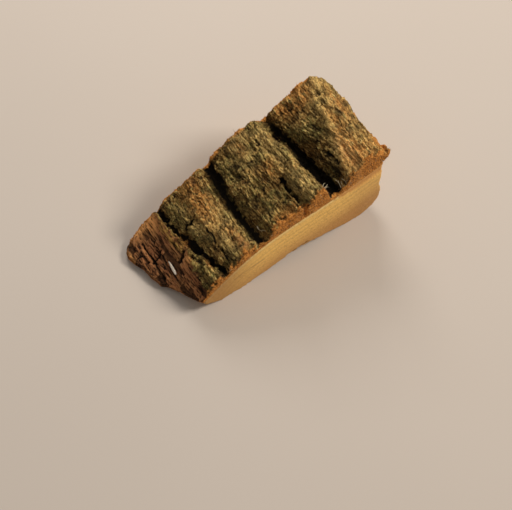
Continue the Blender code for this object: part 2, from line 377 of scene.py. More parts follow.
# %% Relief of the marks, and all masks that come with the relief
def bark_relief(points, normals):
    """How far each point moves out along its normal, in mm, and the masks."""
    part = bark_parts(points, normals)
    move, masks = grown_relief(points, part)
    x, y, z = points.T
    outer, sawn, wobble, ragged = part["outer"], part["sawn"], part["wobble"], part["ragged"]
    worn = patch(points, *WORN_CORNER)
    move = move * (1 - worn) - 0.1 * worn
    move += 0.9 * patch(points, *SWELLING) * part["rough"]
    bent = points + 0.5 * wobble[:, None]
    marks = np.zeros(len(points))
    for path, width, depth in CRACKS:
        mark = near_path(bent, path, width)
        move -= depth * mark * outer
        marks = np.maximum(marks, mark)
    slots = np.zeros(len(points))
    for line, width, depth in FURROW_LINES:
        away = (x - along_line(line, y) + 0.7 * wobble) / width
        slot = np.exp(-(away**2)) * (normals[:, 2] > 0.0)
        move -= depth * slot * outer
        slots = np.maximum(slots, slot)
    for path, width, height in RIDGES:
        move += height * near_path(bent, path, width) * outer
    tongue = patch(points, *TORN_TONGUE)
    # Painted light: the lit shoulder gets some of the cut bark's colour.
    lit_shoulder = 0.6 * patch(points, *LIT_SHOULDER_PATCH) * eased(0.9 + 1.4 * ragged)
    # Painted shade: furrows, cracks and sunken places get a mask that paints them near black.
    recess_shade = np.maximum(eased((part["sunk"] - 0.71) / 0.27), np.maximum(slots, marks * 0.9))
    masks |= {
        "section": np.maximum.reduce((sawn, part["torn"] * (1 - 0.4 * part["flaked"]), tongue, lit_shoulder)),
        "above": part["above"],
        "flaked": part["flaked"],
        "painted_shade": recess_shade * (1 - sawn) * outer,
        "relief": np.clip(0.5 + move * 0.8, 0, 1),
        # Painted highlight: the lit crest of the last ridge is made pale.
        "crest": near_path(points + 0.8 * wobble[:, None], CREST, 1.1),
        "lip": near_path(points + 0.9 * wobble[:, None], LIP, 0.7),
    }
    return move * outer, masks


furrow_floor = np.array([(20.6, 0.0, cambium_height(20.6) + 3.0)])
furrow_move, furrow_masks = bark_relief(furrow_floor, upright)
print("on the third furrow's line the skin moves by", round(float(furrow_move[0]), 2), "mm")

# %% [markdown]
# ## The bark piece
# The solid bark stands a hair above the wood, because two solids may not touch. On the real chunk the
# two are grown together, so the copy's inner face is lowered onto the wood before the rebuild. After
# it, the relief moves every point, and a few edges are moved on to where they are on this piece.

# %% Spots of colour, painted light and painted shade on this piece
# Each is a patch as above. Pale spots are partly the bark's own pale tone and partly painted light on lit
# slopes. A shaded spot is painted shade, and has its strength after it.
RUST_SPOTS = (
    (-14.8, 16.7, 2.2, 3.5), (-14.2, -9.5, 1.8, 4.0), (-14.3, -15.8, 1.6, 2.8), (7.9, -0.5, 2.0, 3.0),
    (3.4, 12.2, 1.5, 2.4), (24.3, 16.1, 3.5, 2.5), (31.5, 16.5, 4.5, 3.0), (32.0, -7.0, 1.8, 3.0),
    (32.8, -13.0, 3.0, 4.5), (-36.0, 17.8, 4.2, 2.3), (-32.8, 15.8, 2.0, 3.4), (-44.2, 11.5, 0.5, 2.0),
    (-15.5, 9.0, 2.4, 5.0), (40.0, 4.0, 2.0, 9.0), (-27.8, 1.5, 1.0, 4.0), (-26.0, -11.5, 0.9, 2.0),
    (-17.5, 6.0, 3.5, 9.0), (34.5, -16.0, 5.0, 4.0), (35.0, -2.0, 2.5, 8.0), (29.0, 14.0, 4.0, 4.0),
    (0.5, -17.5, 5.0, 2.0), (42.5, -15.0, 2.5, 4.0), (-29.9, -5.0, 1.1, 2.0), (-27.4, 0.4, 0.8, 2.0),
)
PALE_AND_LIT_SPOTS = (
    (11.5, -8.0, 2.2, 8.0), (14.5, -15.0, 3.0, 5.0), (33.0, 6.0, 1.6, 9.0), (31.4, -9.0, 1.3, 8.0),
    (37.5, 2.0, 4.5, 13.0), (-16.5, 0.0, 2.6, 7.0), (-13.0, -3.0, 2.0, 7.0), (5.0, 16.0, 3.0, 3.0),
    (33.0, 15.0, 6.0, 5.0), (32.0, -12.0, 2.5, 7.0), (3.0, 10.0, 3.0, 5.0), (12.5, 8.0, 3.0, 7.0),
    (34.5, -13.0, 4.5, 6.0), (33.0, -13.0, 3.0, 5.0), (30.0, -13.0, 2.2, 5.4), (-17.0, -12.0, 3.0, 5.0),
    (-22.6, 3.0, 1.9, 6.5),
)
PAINTED_SHADE_SPOTS = (
    (27.0, 1.0, 2.6, 8.0, 0.5), (26.2, -10.0, 2.2, 8.0, 0.5), (40.9, 5.0, 0.9, 8.0, 0.5),
    (41.2, -8.0, 0.8, 4.0, 0.5), (-4.0, -6.0, 1.6, 9.0, 0.5), (-2.0, -13.5, 2.6, 4.5, 0.5),
    (26.4, -13.6, 1.8, 3.6, 0.74), (37.6, 1.2, 2.4, 5.0, 0.57), (34.9, -12.8, 1.1, 2.5, 0.42),
    (-24.0, 15.0, 2.0, 3.0, 0.42),
)
OPEN_FURROW_END = (20.5, 18.0, 4.0, 3.5)
# Painted highlight on the lit shoulder of the last ridge.
LIT_SHOULDER_HIGHLIGHT = (31.3, -11.0, 1.6, 7.5)
print("spots:", len(RUST_SPOTS), "rusty,", len(PALE_AND_LIT_SPOTS), "pale and", len(PAINTED_SHADE_SPOTS), "shaded")

# %% Masks that only colour reads
def add_colour_masks(points, normals, masks):
    x, y, z = points.T
    masks["rust"] = np.clip(patches(points, RUST_SPOTS), 0, 1)
    # The pale mask is partly the bark's own pale tone and partly painted light: the pale spots on lit slopes
    # and a highlight along the lit crest.
    masks["pale"] = np.clip(patches(points, PALE_AND_LIT_SPOTS) + masks.pop("crest"), 0, 1)
    # The painted shade is taken off the open end of one furrow and off the thick end.
    masks["painted_shade"] *= 1 - 0.85 * patch(points, *OPEN_FURROW_END)
    masks["painted_shade"] *= 1 - 0.9 * eased((x - 40.2) / 1.2)
    # Each shaded spot paints shade towards near black by its strength.
    for *spot, strength in PAINTED_SHADE_SPOTS:
        masks["painted_shade"] = np.maximum(masks["painted_shade"], strength * patch(points, *spot))
    # Painted highlight on the lit shoulder.
    masks["shoulder_highlight"] = patch(points, *LIT_SHOULDER_HIGHLIGHT)
    weathered = (1 - masks["section"]) * (1 - masks["flaked"])
    masks["grains"] = weathered * eased((normals[:, 2] - 0.05) / 0.5) * (1 - masks["painted_shade"] * 0.9)
    masks["grains"] *= (1 - masks["bare"]) * eased(0.9 + 1.3 * grain_noise(points, 4.0, 7.0, 31))
    near_side = np.where(y < 0, 1.0, 0.25)
    by_saw = eased((1.6 - from_sawn_face(x, y)) / 0.8)
    masks["fray"] = near_side * by_saw * (1 - masks["flaked"]) * eased((masks["above"] - 0.8) / 1.0)


add_colour_masks(furrow_floor, upright, furrow_masks)
print("masks in the furrow:", {name: round(float(m[0]), 2) for name, m in furrow_masks.items()})

# %% Build the bark
GROWN_ON_DROP = 0.48 * MM
TORN_FLAKE_X = 43.2 * MM


def lower_inner_face(build):
    """Lowers every face that looks down, but for those of the flake that sticks out."""
    inner = {v for f in build.faces if f.normal.z < -0.5 for v in f.verts if v.co.x < TORN_FLAKE_X}
    for vert in inner:
        vert.co.z -= GROWN_ON_DROP


def push_edges(points, normals, moved):
    """Makes the flake's tip taller, raises the last ridge's near end and pushes out two edges."""
    x, y, z = points.T
    above = z - cambium_height(x)
    moved[:, 2] += (z - 32.9) * 1.3 * eased((x - 42.9) / 1.6)
    moved[:, 2] += 2.5 * patch(points, 29.3, -13.2, 1.5, 5.6) * eased(normals[:, 2] / 0.4)
    moved[:, 0] += 1.0 * patch(points, 42.5, 5.5, 2.0, 4.5) + 0.8 * patch(points, 42.5, -9.5, 2.0, 2.6)
    by_flaked_edge = np.exp(-(((x + 35.0) / 3.6) ** 2)) * eased((y - 13.5) / 4.0)
    moved[:, 1] += 1.2 * by_flaked_edge * eased((above + 0.2) / 1.2)
    least = cambium_height(moved[:, 0]) + 0.5
    moved[:, 2] = np.where(above > 0.7, np.maximum(moved[:, 2], least), moved[:, 2])


def build_bark():
    mesh = dense_copy("bark", VOXEL_BARK, lower_inner_face)
    points, normals = points_of(mesh)
    move, masks = bark_relief(points, normals)
    moved = points + normals * move[:, None]
    push_edges(points, normals, moved)
    set_points(mesh, moved)
    add_colour_masks(points, normals, masks)
    set_masks(mesh, masks)
    mesh.shade_smooth()
    return link_mesh("bark_skin", mesh)


bark = build_bark()
print("bark:", len(bark.data.vertices), "points,", len(bark.data.polygons), "squares")

# %% [markdown]
# ## The wood
# A saw cuts across the fibres and leaves a flat face of end grain with faint marks of its teeth. An
# axe parts the fibres and leaves long, slightly raised strands. Which face a point is on follows from
# its normal, and its depth below the cambium is stored for the growth rings.

# %% Build the wood
# The slit, a dent painted near black as a shadow gap, and the dark line above it are paths of (x, z) on the
# near sawn face.
SLIT_PATH = ((2.0, 3.3), (6.0, 3.8), (10.8, 4.4))
SLIT_WIDTH, SLIT_DEPTH = 0.36, 0.8
UPPER_LINE = ((-20.5, 9.4), (-14.0, 11.0), (-8.0, 11.4))
LINE_WIDTH = 0.3
TOOTH_SPACING, TOOTH_DEPTH = 2.1, 0.010


def build_wood():
    mesh = dense_copy("wood", VOXEL_WOOD)
    points, normals = points_of(mesh)
    x, y, z = points.T
    slope = (cambium_height(x + 0.1) - cambium_height(x - 0.1)) / 0.2
    depth = (cambium_height(x) - z) / np.sqrt(1 + slope**2)
    sawn = eased((np.abs(normals[:, 1]) - 0.6) / 0.25)
    split = 0.34 * grain_noise(points, 0.9, 16.0, 11, 2) + 0.35 * grain_noise(points, 3.0, 30.0, 12, 1)
    wander = 1.5 * grain_noise(points, 9.0, 9.0, 13)
    teeth = np.sin((x + 0.35 * z) * 2 * np.pi / TOOTH_SPACING + wander) * TOOTH_DEPTH
    move = (1 - sawn) * split + sawn * (teeth + 0.05 * grain_noise(points, 0.7, 0.7, 14, 2))
    near = sawn * (normals[:, 1] < 0)
    near_face = np.stack((x, z), 1)
    # A dent along the lower edge whose near-black colour is painted shadow.
    shadow_slit = near * near_path(near_face, SLIT_PATH, SLIT_WIDTH)
    move -= SLIT_DEPTH * shadow_slit
    moved = points + normals * move[:, None]
    moved[:, 2] = np.maximum(moved[:, 2], 0.0)
    moved[:, 0] += 0.8 * eased((x - 38.0) / 3.0) * eased((-8.0 - y) / 8.0)
    set_points(mesh, moved)
    stain = 0.30 * np.clip(x - 19.0, 0.0, 21.0) - depth + 1.2 * grain_noise(points, 1.2, 1.2, 41, 2)
    set_masks(mesh, {
        "depth": depth,
        "sawn": sawn,
        "shadow_slit": shadow_slit,
        "line": near * near_path(near_face, UPPER_LINE, LINE_WIDTH),
        # Darker towards both ends: painted shadow towards the thin end, and a darker tone towards the thick
        # end.
        "darker_ends": eased((-6.0 - x) / 22.0) + 0.3 * eased((x - 24.0) / 12.0),
        "stained": sawn * eased((stain + 0.2) / 1.0),
    })
    mesh.shade_smooth()
    return link_mesh("wood_skin", mesh)


wood = build_wood()
print("wood:", len(wood.data.vertices), "points,", len(wood.data.polygons), "squares")

# %% [markdown]
# ## Helpers for materials
# Every finish below is a tree of nodes. A few small helpers keep each tree short to read: one adds a
# node and joins or sets its inputs, one lays colours over each other by their masks, one turns a value
# into a mask between two limits, and the others wrap the few nodes that come back all the time.

# %% Add nodes, lay colours, make masks
def feed(tree, made, inputs):
    """Sets each input of a node to a value, or joins it to the socket that feeds it."""
    for name, value in inputs.items():
        if isinstance(value, bpy.types.NodeSocket):
            tree.links.new(value, made.inputs[name])
        else:
            made.inputs[name].default_value = value


def add(tree, kind, inputs=None, **settings):
    made = tree.nodes.new(kind)
    for name, value in settings.items():
        setattr(made, name, value)
    feed(tree, made, inputs or {})
    return made


def mix(tree, mask, first, second):
    """first where the mask is 0, second where it is 1."""
    first, second = ((*c, 1.0) if isinstance(c, tuple) else c for c in (first, second))
    return add(tree, "ShaderNodeMix", {0: mask, 6: first, 7: second}, data_type="RGBA").outputs[2]


def coated(tree, body, *coats):
    """Lays colours over a body colour, each where its own mask is 1."""
    for mask, colour in coats:
        body = mix(tree, mask, body, colour)
    return body


def limits(tree, value, low, high, most=1.0):
    """A smooth step from 0 at one limit to the most at the other."""
    inputs = {"Value": value, "From Min": low, "From Max": high, "To Max": most}
    return add(tree, "ShaderNodeMapRange", inputs, interpolation_type="SMOOTHSTEP").outputs["Result"]


def times(tree, first, second, way="MULTIPLY"):
    return add(tree, "ShaderNodeMath", {0: first, 1: second}, operation=way).outputs[0]


def vector_maths(tree, first, second, way="MULTIPLY"):
    return add(tree, "ShaderNodeVectorMath", {0: first, 1: second}, operation=way).outputs[0]


trial = bpy.data.node_groups.new("trial", "ShaderNodeTree")
coated(trial, (1.0, 1.0, 1.0), (limits(trial, 0.5, 0.0, 1.0), (0.0, 0.0, 0.0)))
print("one coat over a body colour takes", len(trial.nodes), "nodes")
bpy.data.node_groups.remove(trial)

# %% Read masks and places, draw clouds, start and end a material
def mask_of(tree, name):
    """A mask stored on the mesh."""
    return add(tree, "ShaderNodeAttribute", attribute_name=name).outputs["Fac"]


def places(tree):
    """Object coordinates, in metres."""
    return add(tree, "ShaderNodeTexCoord").outputs["Object"]


def shifted(tree, place, by):
    """The same coordinates moved, so that two patterns of one kind don't coincide."""
    return vector_maths(tree, place, (by, by * 0.7, by * 1.3), "ADD")


def joined(tree, x=0.0, y=0.0, z=0.0):
    return add(tree, "ShaderNodeCombineXYZ", {"X": x, "Y": y, "Z": z}).outputs[0]


def cloudy(tree, place, scale, detail=3.0, roughness=0.5):
    """Plain noise. A scale of 1000 is about one cloud a millimetre."""
    inputs = {"Vector": place, "Scale": scale, "Detail": detail, "Roughness": roughness}
    return add(tree, "ShaderNodeTexNoise", inputs).outputs["Fac"]


def new_material(name, roughness, specular):
    material = bpy.data.materials.new(name)
    material.use_nodes = True
    shader = material.node_tree.nodes["Principled BSDF"]
    shader.inputs["Roughness"].default_value = roughness
    shader.inputs["Specular IOR Level"].default_value = specular
    return material, material.node_tree, shader


def finish(tree, shader, colour, height, distance):
    """Joins a colour and a height to the shader. The height's full step is a distance in mm."""
    tree.links.new(colour, shader.inputs["Base Color"])
    bump = add(tree, "ShaderNodeBump", {"Height": height, "Distance": distance * MM, "Strength": 1.0})
    tree.links.new(bump.outputs["Normal"], shader.inputs["Normal"])


print("masks stored on the bark:", sorted(a.name for a in bark.data.attributes if a.data_type == "FLOAT"))

# %% [markdown]
# ## Shared effects
# Strands, flecks and crumbs come back in several finishes, so each is a node group that is built
# once. Strands are noise on coordinates that are squeezed along Y, the direction of the fibres.
# Flecks are noise cut off at a threshold. Crumbs are cells, each with a level of its own. Every group
# puts out a mask, and each finish picks its own colours for it.

# %% Groups of nodes for strands, flecks and crumbs
def new_group(name, **numbers):
    """A group with a Vector, some numbers as inputs and a Mask as output."""
    tree = bpy.data.node_groups.new(name, "ShaderNodeTree")
    tree.interface.new_socket("Vector", in_out="INPUT", socket_type="NodeSocketVector")
    for title, value in numbers.items():
        socket = tree.interface.new_socket(title, in_out="INPUT", socket_type="NodeSocketFloat")
        socket.default_value = value
    tree.interface.new_socket("Mask", in_out="OUTPUT", socket_type="NodeSocketFloat")
    given = tree.nodes.new("NodeGroupInput").outputs
    return tree, given, tree.nodes.new("NodeGroupOutput").inputs["Mask"]


def build_strand_group():
    """Strands along the grain. Width and Length are in metres."""
    tree, given, out = new_group("strands along the grain", Width=0.0004, Length=0.006, Low=0.4, High=0.6)
    across = times(tree, 1.0, given["Width"], "DIVIDE")
    along = times(tree, 1.0, given["Length"], "DIVIDE")
    place = vector_maths(tree, given["Vector"], joined(tree, across, along, across))
    drawn = cloudy(tree, place, 1.0, 3.0, 0.6)
    tree.links.new(limits(tree, drawn, given["Low"], given["High"]), out)
    return tree


def build_fleck_group():
    """Flecks of one size, in metres, drawn out along the grain. Cover is their share of the surface."""
    tree, given, out = new_group("flecks", Size=0.0006, Cover=0.4, Softness=0.08)
    scale = times(tree, 0.6, given["Size"], "DIVIDE")
    drawn = vector_maths(tree, given["Vector"], (1.0, 0.5, 1.0))
    blobs = cloudy(tree, drawn, scale, 2.0, 0.55)
    bound = times(tree, 0.68, times(tree, given["Cover"], 0.36), "SUBTRACT")
    above = times(tree, bound, given["Softness"], "ADD")
    tree.links.new(limits(tree, blobs, bound, above), out)
    return tree


def build_crumb_group():
    """A random level, from 0 to 1, for each crumb. Size is in metres."""
    tree, given, out = new_group("crumbs", Size=0.0005)
    scale = times(tree, 1.0, given["Size"], "DIVIDE")
    drawn = vector_maths(tree, given["Vector"], (1.0, 0.45, 1.0))
    sized = add(tree, "ShaderNodeVectorMath", {0: drawn, "Scale": scale}, operation="SCALE").outputs[0]
    bend = add(tree, "ShaderNodeTexNoise", {"Vector": sized, "Scale": 1.3, "Detail": 2.0}).outputs["Color"]
    bent = vector_maths(tree, sized, bend, "ADD")
    cells = add(tree, "ShaderNodeTexVoronoi", {"Vector": bent, "Scale": 1.0})
    tree.links.new(add(tree, "ShaderNodeSeparateColor", {"Color": cells.outputs["Color"]}).outputs[0], out)
    return tree


strand_group, fleck_group, crumb_group = build_strand_group(), build_fleck_group(), build_crumb_group()
print("shared effects:", strand_group.name + ",", fleck_group.name, "and", crumb_group.name)

# %% Put a shared effect in a material, with sizes in mm
def use_group(tree, group, inputs):
    made = tree.nodes.new("ShaderNodeGroup")
    made.node_tree = group
    feed(tree, made, inputs)
    return made.outputs["Mask"]


def strands(tree, place, width, length, low=0.4, high=0.6):
    inputs = {"Vector": place, "Width": width * MM, "Length": length * MM, "Low": low, "High": high}
    return use_group(tree, strand_group, inputs)


def flecks(tree, place, size, cover, softness):
    inputs = {"Vector": place, "Size": size * MM, "Cover": cover, "Softness": softness}
    return use_group(tree, fleck_group, inputs)


def crumbs(tree, place, size):
    return use_group(tree, crumb_group, {"Vector": place, "Size": size * MM})


for group in (strand_group, fleck_group, crumb_group):
    print(group.name, "takes", [s.name for s in group.interface.items_tree if s.in_out == "INPUT"])

# %% [markdown]
# ## The bark's finish
# From a distance the bark is olive brown. Close by it is a dark ground under light flecks of cork and lichen,
# with rusty places where a scale came off. The furrows and cracks are painted almost black as shade, the
# flaked patch is purple brown, and the cut through the bark is bright orange with dark grains in it. The
# masks stored on the mesh say where each of these is, and noise breaks up their borders.

# %% Colour of the weathered bark
GROUND = ((0.215, 0.094, 0.0200), (0.180, 0.124, 0.031))
CORK = ((0.48, 0.42, 0.140), (0.92, 0.55, 0.18))
RUSTY = ((0.32, 0.11, 0.022), (0.90, 0.43, 0.11))
BARED = ((0.19, 0.085, 0.028), (0.34, 0.165, 0.058))
FIBRE, DRY, STREAK, LICHEN = (0.42, 0.25, 0.068), (0.60, 0.36, 0.115), (0.95, 0.67, 0.24), (0.30, 0.25, 0.075)
# The last two are painted shade: the middle one darkens low places of the relief and the dark threads, the
# last is the near black of furrows, cracks and shaded spots.
DARK, DARK_THREADS_AND_PIT_SHADE, PAINTED_SHADE_COLOUR = (0.022, 0.014, 0.006), (0.012, 0.007, 0.003), (0.003, 0.002, 0.001)


def weathered_bark(tree, place):
    """Colour of the ridges and furrows, and a height for the bump."""
    # The pale mask is partly the bark's own tone and partly painted light on lit slopes and the lit crest.
    pale = mask_of(tree, "pale")
    broad, fine = cloudy(tree, place, 150.0), cloudy(tree, place, 1500.0)
    zones = cloudy(tree, shifted(tree, place, 0.2), 260.0)
    level, hue = crumbs(tree, place, 0.36), crumbs(tree, shifted(tree, place, 0.63), 0.55)
    raised = limits(tree, mask_of(tree, "relief"), 0.2, 0.7)
    fibre = strands(tree, place, 0.34, 3.4, 0.42, 0.62)
    green = flecks(tree, shifted(tree, place, 0.31), 0.42, 0.50, 0.10)
    streaks = strands(tree, shifted(tree, place, 0.77), 0.24, 3.4, 0.47, 0.60)
    warm = flecks(tree, shifted(tree, place, 0.53), 0.7, 0.90, 0.12)
    threads = strands(tree, shifted(tree, place, 0.41), 0.26, 3.6, 0.57, 0.63)
    ground = mix(tree, limits(tree, broad, 0.40, 0.60), *GROUND)
    # Painted shade: low places of the relief are darkened, and the light cork flecks are kept to raised
    # places as painted light on the tops.
    ground = mix(tree, raised, mix(tree, 0.6, ground, DARK_THREADS_AND_PIT_SHADE), ground)
    body = coated(
        tree, ground,
        (times(tree, fibre, 0.6), FIBRE),
        (times(tree, pale, 0.5), DRY),
        (times(tree, limits(tree, level, 0.30, 1.0, 0.95), raised), mix(tree, hue, *CORK)),
        (limits(tree, level, 0.38, 0.0, 0.8), DARK),
        (times(tree, times(tree, green, limits(tree, broad, 0.40, 0.6)), 0.55), LICHEN),
        (times(tree, pale, times(tree, streaks, 0.8)), STREAK),
        (times(tree, times(tree, mask_of(tree, "rust"), warm), 0.75), mix(tree, level, *RUSTY)),
        (times(tree, threads, 0.8), DARK_THREADS_AND_PIT_SHADE),
        (limits(tree, zones, 0.48, 0.34, 0.55), DARK),
        (times(tree, mask_of(tree, "bare"), 0.85), mix(tree, strands(tree, place, 0.35, 3.0), *BARED)),
    )
    return body, times(tree, fine, times(tree, fibre, 0.5), "ADD")


# Paints shade: mixes the colour towards near black by the painted shade mask.
def add_painted_shade(tree, colour):
    return mix(tree, limits(tree, mask_of(tree, "painted_shade"), 0.22, 0.8, 0.97), colour, PAINTED_SHADE_COLOUR)


print("weathered bark: ground", GROUND, "under cork", CORK)

# %% Colour of the flaked patch
PLATE = ((0.265, 0.098, 0.038), (0.44, 0.178, 0.066))
LIGHT_PLATE, DARK_PLATE = (0.52, 0.24, 0.085), (0.120, 0.046, 0.018)
PLATE_CRUMB, PLATE_CLOUD = (0.50, 0.26, 0.11), (0.30, 0.15, 0.045)
# The second of these is painted shade for the dips of the plates.
PLATE_LINE, PLATE_DIP_SHADE = (0.014, 0.006, 0.004), (0.02, 0.009, 0.005)
FRESH_RUST = ((0.78, 0.28, 0.075), (1.0, 0.54, 0.19))


def flaked_bark(tree, place, fine, broad):
    """The smoother brown layer at the thin end, in plates with dark lines along the grain."""
    plate = crumbs(tree, shifted(tree, place, 0.05), 1.5)
    lines = strands(tree, shifted(tree, place, 0.6), 0.14, 6.0, 0.56, 0.60)
    return coated(
        tree, mix(tree, strands(tree, place, 0.30, 7.0, 0.35, 0.65), *PLATE),
        (limits(tree, plate, 0.35, 1.0, 0.40), LIGHT_PLATE),
        (limits(tree, plate, 0.30, 0.0, 0.45), DARK_PLATE),
        (limits(tree, crumbs(tree, place, 0.4), 0.80, 1.0, 0.5), PLATE_CRUMB),
        (limits(tree, broad, 0.5, 0.75, 0.4), PLATE_CLOUD),
        (times(tree, lines, 0.9), PLATE_LINE),
        # Painted shade in the low places of the plates.
        (limits(tree, mask_of(tree, "relief"), 0.34, 0.1, 0.75), PLATE_DIP_SHADE),
        (mask_of(tree, "rust"), mix(tree, fine, *FRESH_RUST)),
    )


print("flaked patch: plates", PLATE, "and rust", FRESH_RUST)

# %% Colour of the cut through the bark
CUT = ((0.46, 0.15, 0.026), (0.90, 0.41, 0.095))
CUT_LAYER, CUT_GRAIN = (0.30, 0.095, 0.018), (0.15, 0.045, 0.011)


def cut_bark(tree, place, fine, broad):
    """Orange, in layers that follow the height above the cambium, with dark grains."""
    layer = times(tree, mask_of(tree, "above"), times(tree, broad, 2.0), "ADD")
    layers = cloudy(tree, joined(tree, layer), 1.1, 3.0, 0.7)
    grains = flecks(tree, shifted(tree, place, 0.9), 0.26, 0.44, 0.06)
    return coated(
        tree, mix(tree, fine, *CUT),
        (limits(tree, layers, 0.46, 0.60, 0.55), CUT_LAYER),
        (times(tree, grains, 0.7), CUT_GRAIN),
    )


print("cut bark:", CUT, "with grains", CUT_GRAIN)

# %% Bark material
LIP_COLOURS = ((0.36, 0.17, 0.035), (0.90, 0.55, 0.13))
# Both are painted: near black shade inside the splits, and a highlight colour for the lit shoulder.
SPLIT_SHADE_COLOUR, SHOULDER_HIGHLIGHT_COLOUR = (0.012, 0.006, 0.004), (0.95, 0.58, 0.22)


def bark_material():
    material, tree, shader = new_material("bark", 0.92, 0.12)
    place = places(tree)
    fine, broad = cloudy(tree, place, 1700.0), cloudy(tree, place, 170.0, 2.0)
    body, height = weathered_bark(tree, place)
    lip = times(tree, mask_of(tree, "lip"), strands(tree, place, 0.5, 2.5, 0.42, 0.52))
    body = coated(
        tree, body,
        (mask_of(tree, "flaked"), flaked_bark(tree, place, fine, broad)),
        (lip, mix(tree, fine, *LIP_COLOURS)),
        # Painted shade: the splits are coloured near black.
        (mask_of(tree, "splits"), SPLIT_SHADE_COLOUR),
        (mask_of(tree, "section"), cut_bark(tree, place, fine, broad)),
        # Painted highlight on the lit shoulder.
        (times(tree, mask_of(tree, "shoulder_highlight"), 0.42), SHOULDER_HIGHLIGHT_COLOUR),
    )
    # The painted shade goes over the whole bark colour here.
    finish(tree, shader, add_painted_shade(tree, body), height, 0.22)
    return material


bark.data.materials.append(bark_material())
print("bark finish:", len(bark.data.materials[0].node_tree.nodes), "nodes")

# %% [markdown]
# ## The wood's finish
# End grain shows growth rings as thin bands that run parallel to the cambium, pale and cream in the
# young sapwood and pinkish brown deeper in. Split faces show the fibres side on: bright yellow, with
# short dark pores. One material holds both, and the stored mask chooses between them.

# %% Wood material
YOUNG_AND_OLD_WOOD = ((0.94, 0.57, 0.150), (0.54, 0.26, 0.074))
RING, YOUNGEST, PALE_DASH = (0.47, 0.235, 0.058), (0.90, 0.66, 0.27), (0.90, 0.60, 0.22)
# The second darkens the face towards the ends: painted shadow at the thin end, a darker tone at the thick
# end.
DARK_DASH, ENDS_DARK_COLOUR = (0.36, 0.17, 0.045), (0.36, 0.17, 0.05)
INNER_BARK, INNER_BARK_GRAIN = ((0.60, 0.25, 0.055), (0.96, 0.55, 0.14)), (0.44, 0.16, 0.032)
SPLIT_WOOD, PORE = ((0.50, 0.27, 0.07), (0.66, 0.41, 0.14)), (0.22, 0.10, 0.03)
# The second is the near black painted as shadow in the slit.
LINE_COLOUR, SLIT_SHADOW_COLOUR = (0.30, 0.14, 0.05), (0.035, 0.014, 0.006)


def end_grain(tree, place, fine):
    depth = mask_of(tree, "depth")
    wander = times(tree, cloudy(tree, place, 110.0, 2.0), 1.6)
    rings = cloudy(tree, joined(tree, times(tree, depth, wander, "ADD"), 3.7), 0.75, 3.0, 0.6)
    dashes = crumbs(tree, shifted(tree, place, 0.15), 0.5)
    inner_bark = mix(tree, limits(tree, depth, 1.2, 4.5), *INNER_BARK)
    inner_bark = mix(tree, limits(tree, fine, 0.45, 0.65, 0.6), inner_bark, INNER_BARK_GRAIN)
    return coated(
        tree, mix(tree, limits(tree, depth, 5.0, 22.0), *YOUNG_AND_OLD_WOOD),
        (limits(tree, rings, 0.42, 0.62, 0.3), RING),
        (limits(tree, depth, 1.9, 0.6, 0.75), YOUNGEST),
        (limits(tree, dashes, 0.72, 1.0, 0.40), DARK_DASH),
        (limits(tree, dashes, 0.2, 0.0, 0.2), PALE_DASH),
        (limits(tree, fine, 0.52, 0.70, 0.35), DARK_DASH),
        # Painted shadow towards the thin end, and darker towards the thick end.
        (times(tree, mask_of(tree, "darker_ends"), 0.8), ENDS_DARK_COLOUR),
        (times(tree, mask_of(tree, "stained"), 0.85), inner_bark),
    )


def wood_material():
    material, tree, shader = new_material("sapwood", 0.62, 0.3)
    place, sawn = places(tree), mask_of(tree, "sawn")
    fine = cloudy(tree, place, 1900.0, 2.0)
    pores = strands(tree, shifted(tree, place, 0.4), 0.22, 2.4, 0.63, 0.70)
    colour = coated(
        tree, mix(tree, strands(tree, place, 0.55, 14.0, 0.35, 0.65), *SPLIT_WOOD),
        (times(tree, pores, 0.7), PORE),
        (sawn, end_grain(tree, place, fine)),
        (times(tree, mask_of(tree, "line"), 0.6), LINE_COLOUR),
        # Painted shadow in the slit.
        (limits(tree, mask_of(tree, "shadow_slit"), 0.1, 0.6), SLIT_SHADOW_COLOUR),
    )
    finish(tree, shader, colour, mix(tree, sawn, strands(tree, place, 0.3, 10.0, 0.3, 0.7), fine), 0.10)
    return material


wood.data.materials.append(wood_material())
print("wood finish:", len(wood.data.materials[0].node_tree.nodes), "nodes")

# %% [markdown]
# ## Loose scales of cork
# Thousands of small scales and crumbs of lichen stand up from the ridges and catch the light. They
# repeat, so Geometry Nodes scatter them: points are spread over the bark where its mask allows, a
# flattened ball of eight faces is set on each, turned to lie along the grain, and the result is
# made one plain mesh. Each ball carries a random tint that its material turns into a colour.

# %% Turn of each scattered shape, as nodes
SMALLEST, LARGEST, SIZE_SEED, TINT_SEED = 0.4, 1.3, 4, 9


def random_number(tree, inputs):
    return add(tree, "FunctionNodeRandomValue", inputs, data_type="FLOAT").outputs[1]


def lie_along_grain(tree, normal, given):
    """Stands on the surface, turns along the grain, and then tilts by a random turn up to Tilt."""
    upright = add(tree, "FunctionNodeAlignRotationToVector", {"Vector": normal}, axis="Z").outputs[0]
    inputs = {"Rotation": upright, "Vector": (0.0, 1.0, 0.0)}
    grain = add(tree, "FunctionNodeAlignRotationToVector", inputs, axis="Y", pivot_axis="Z").outputs[0]
    tilt = add(tree, "FunctionNodeRandomValue", {"Seed": given["Seed"]}, data_type="FLOAT_VECTOR")
    for socket, sign in (("Min", -1.0), ("Max", 1.0)):
        turn = times(tree, given["Tilt"], sign)
        feed(tree, tilt, {socket: joined(tree, turn, turn, turn)})
    inputs = {"Rotation": grain, "Rotate By": tilt.outputs["Value"]}
    return add(tree, "FunctionNodeRotateRotation", inputs, rotation_space="LOCAL").outputs[0]


print("scattered shapes are", SMALLEST, "to", LARGEST, "times their stated size")

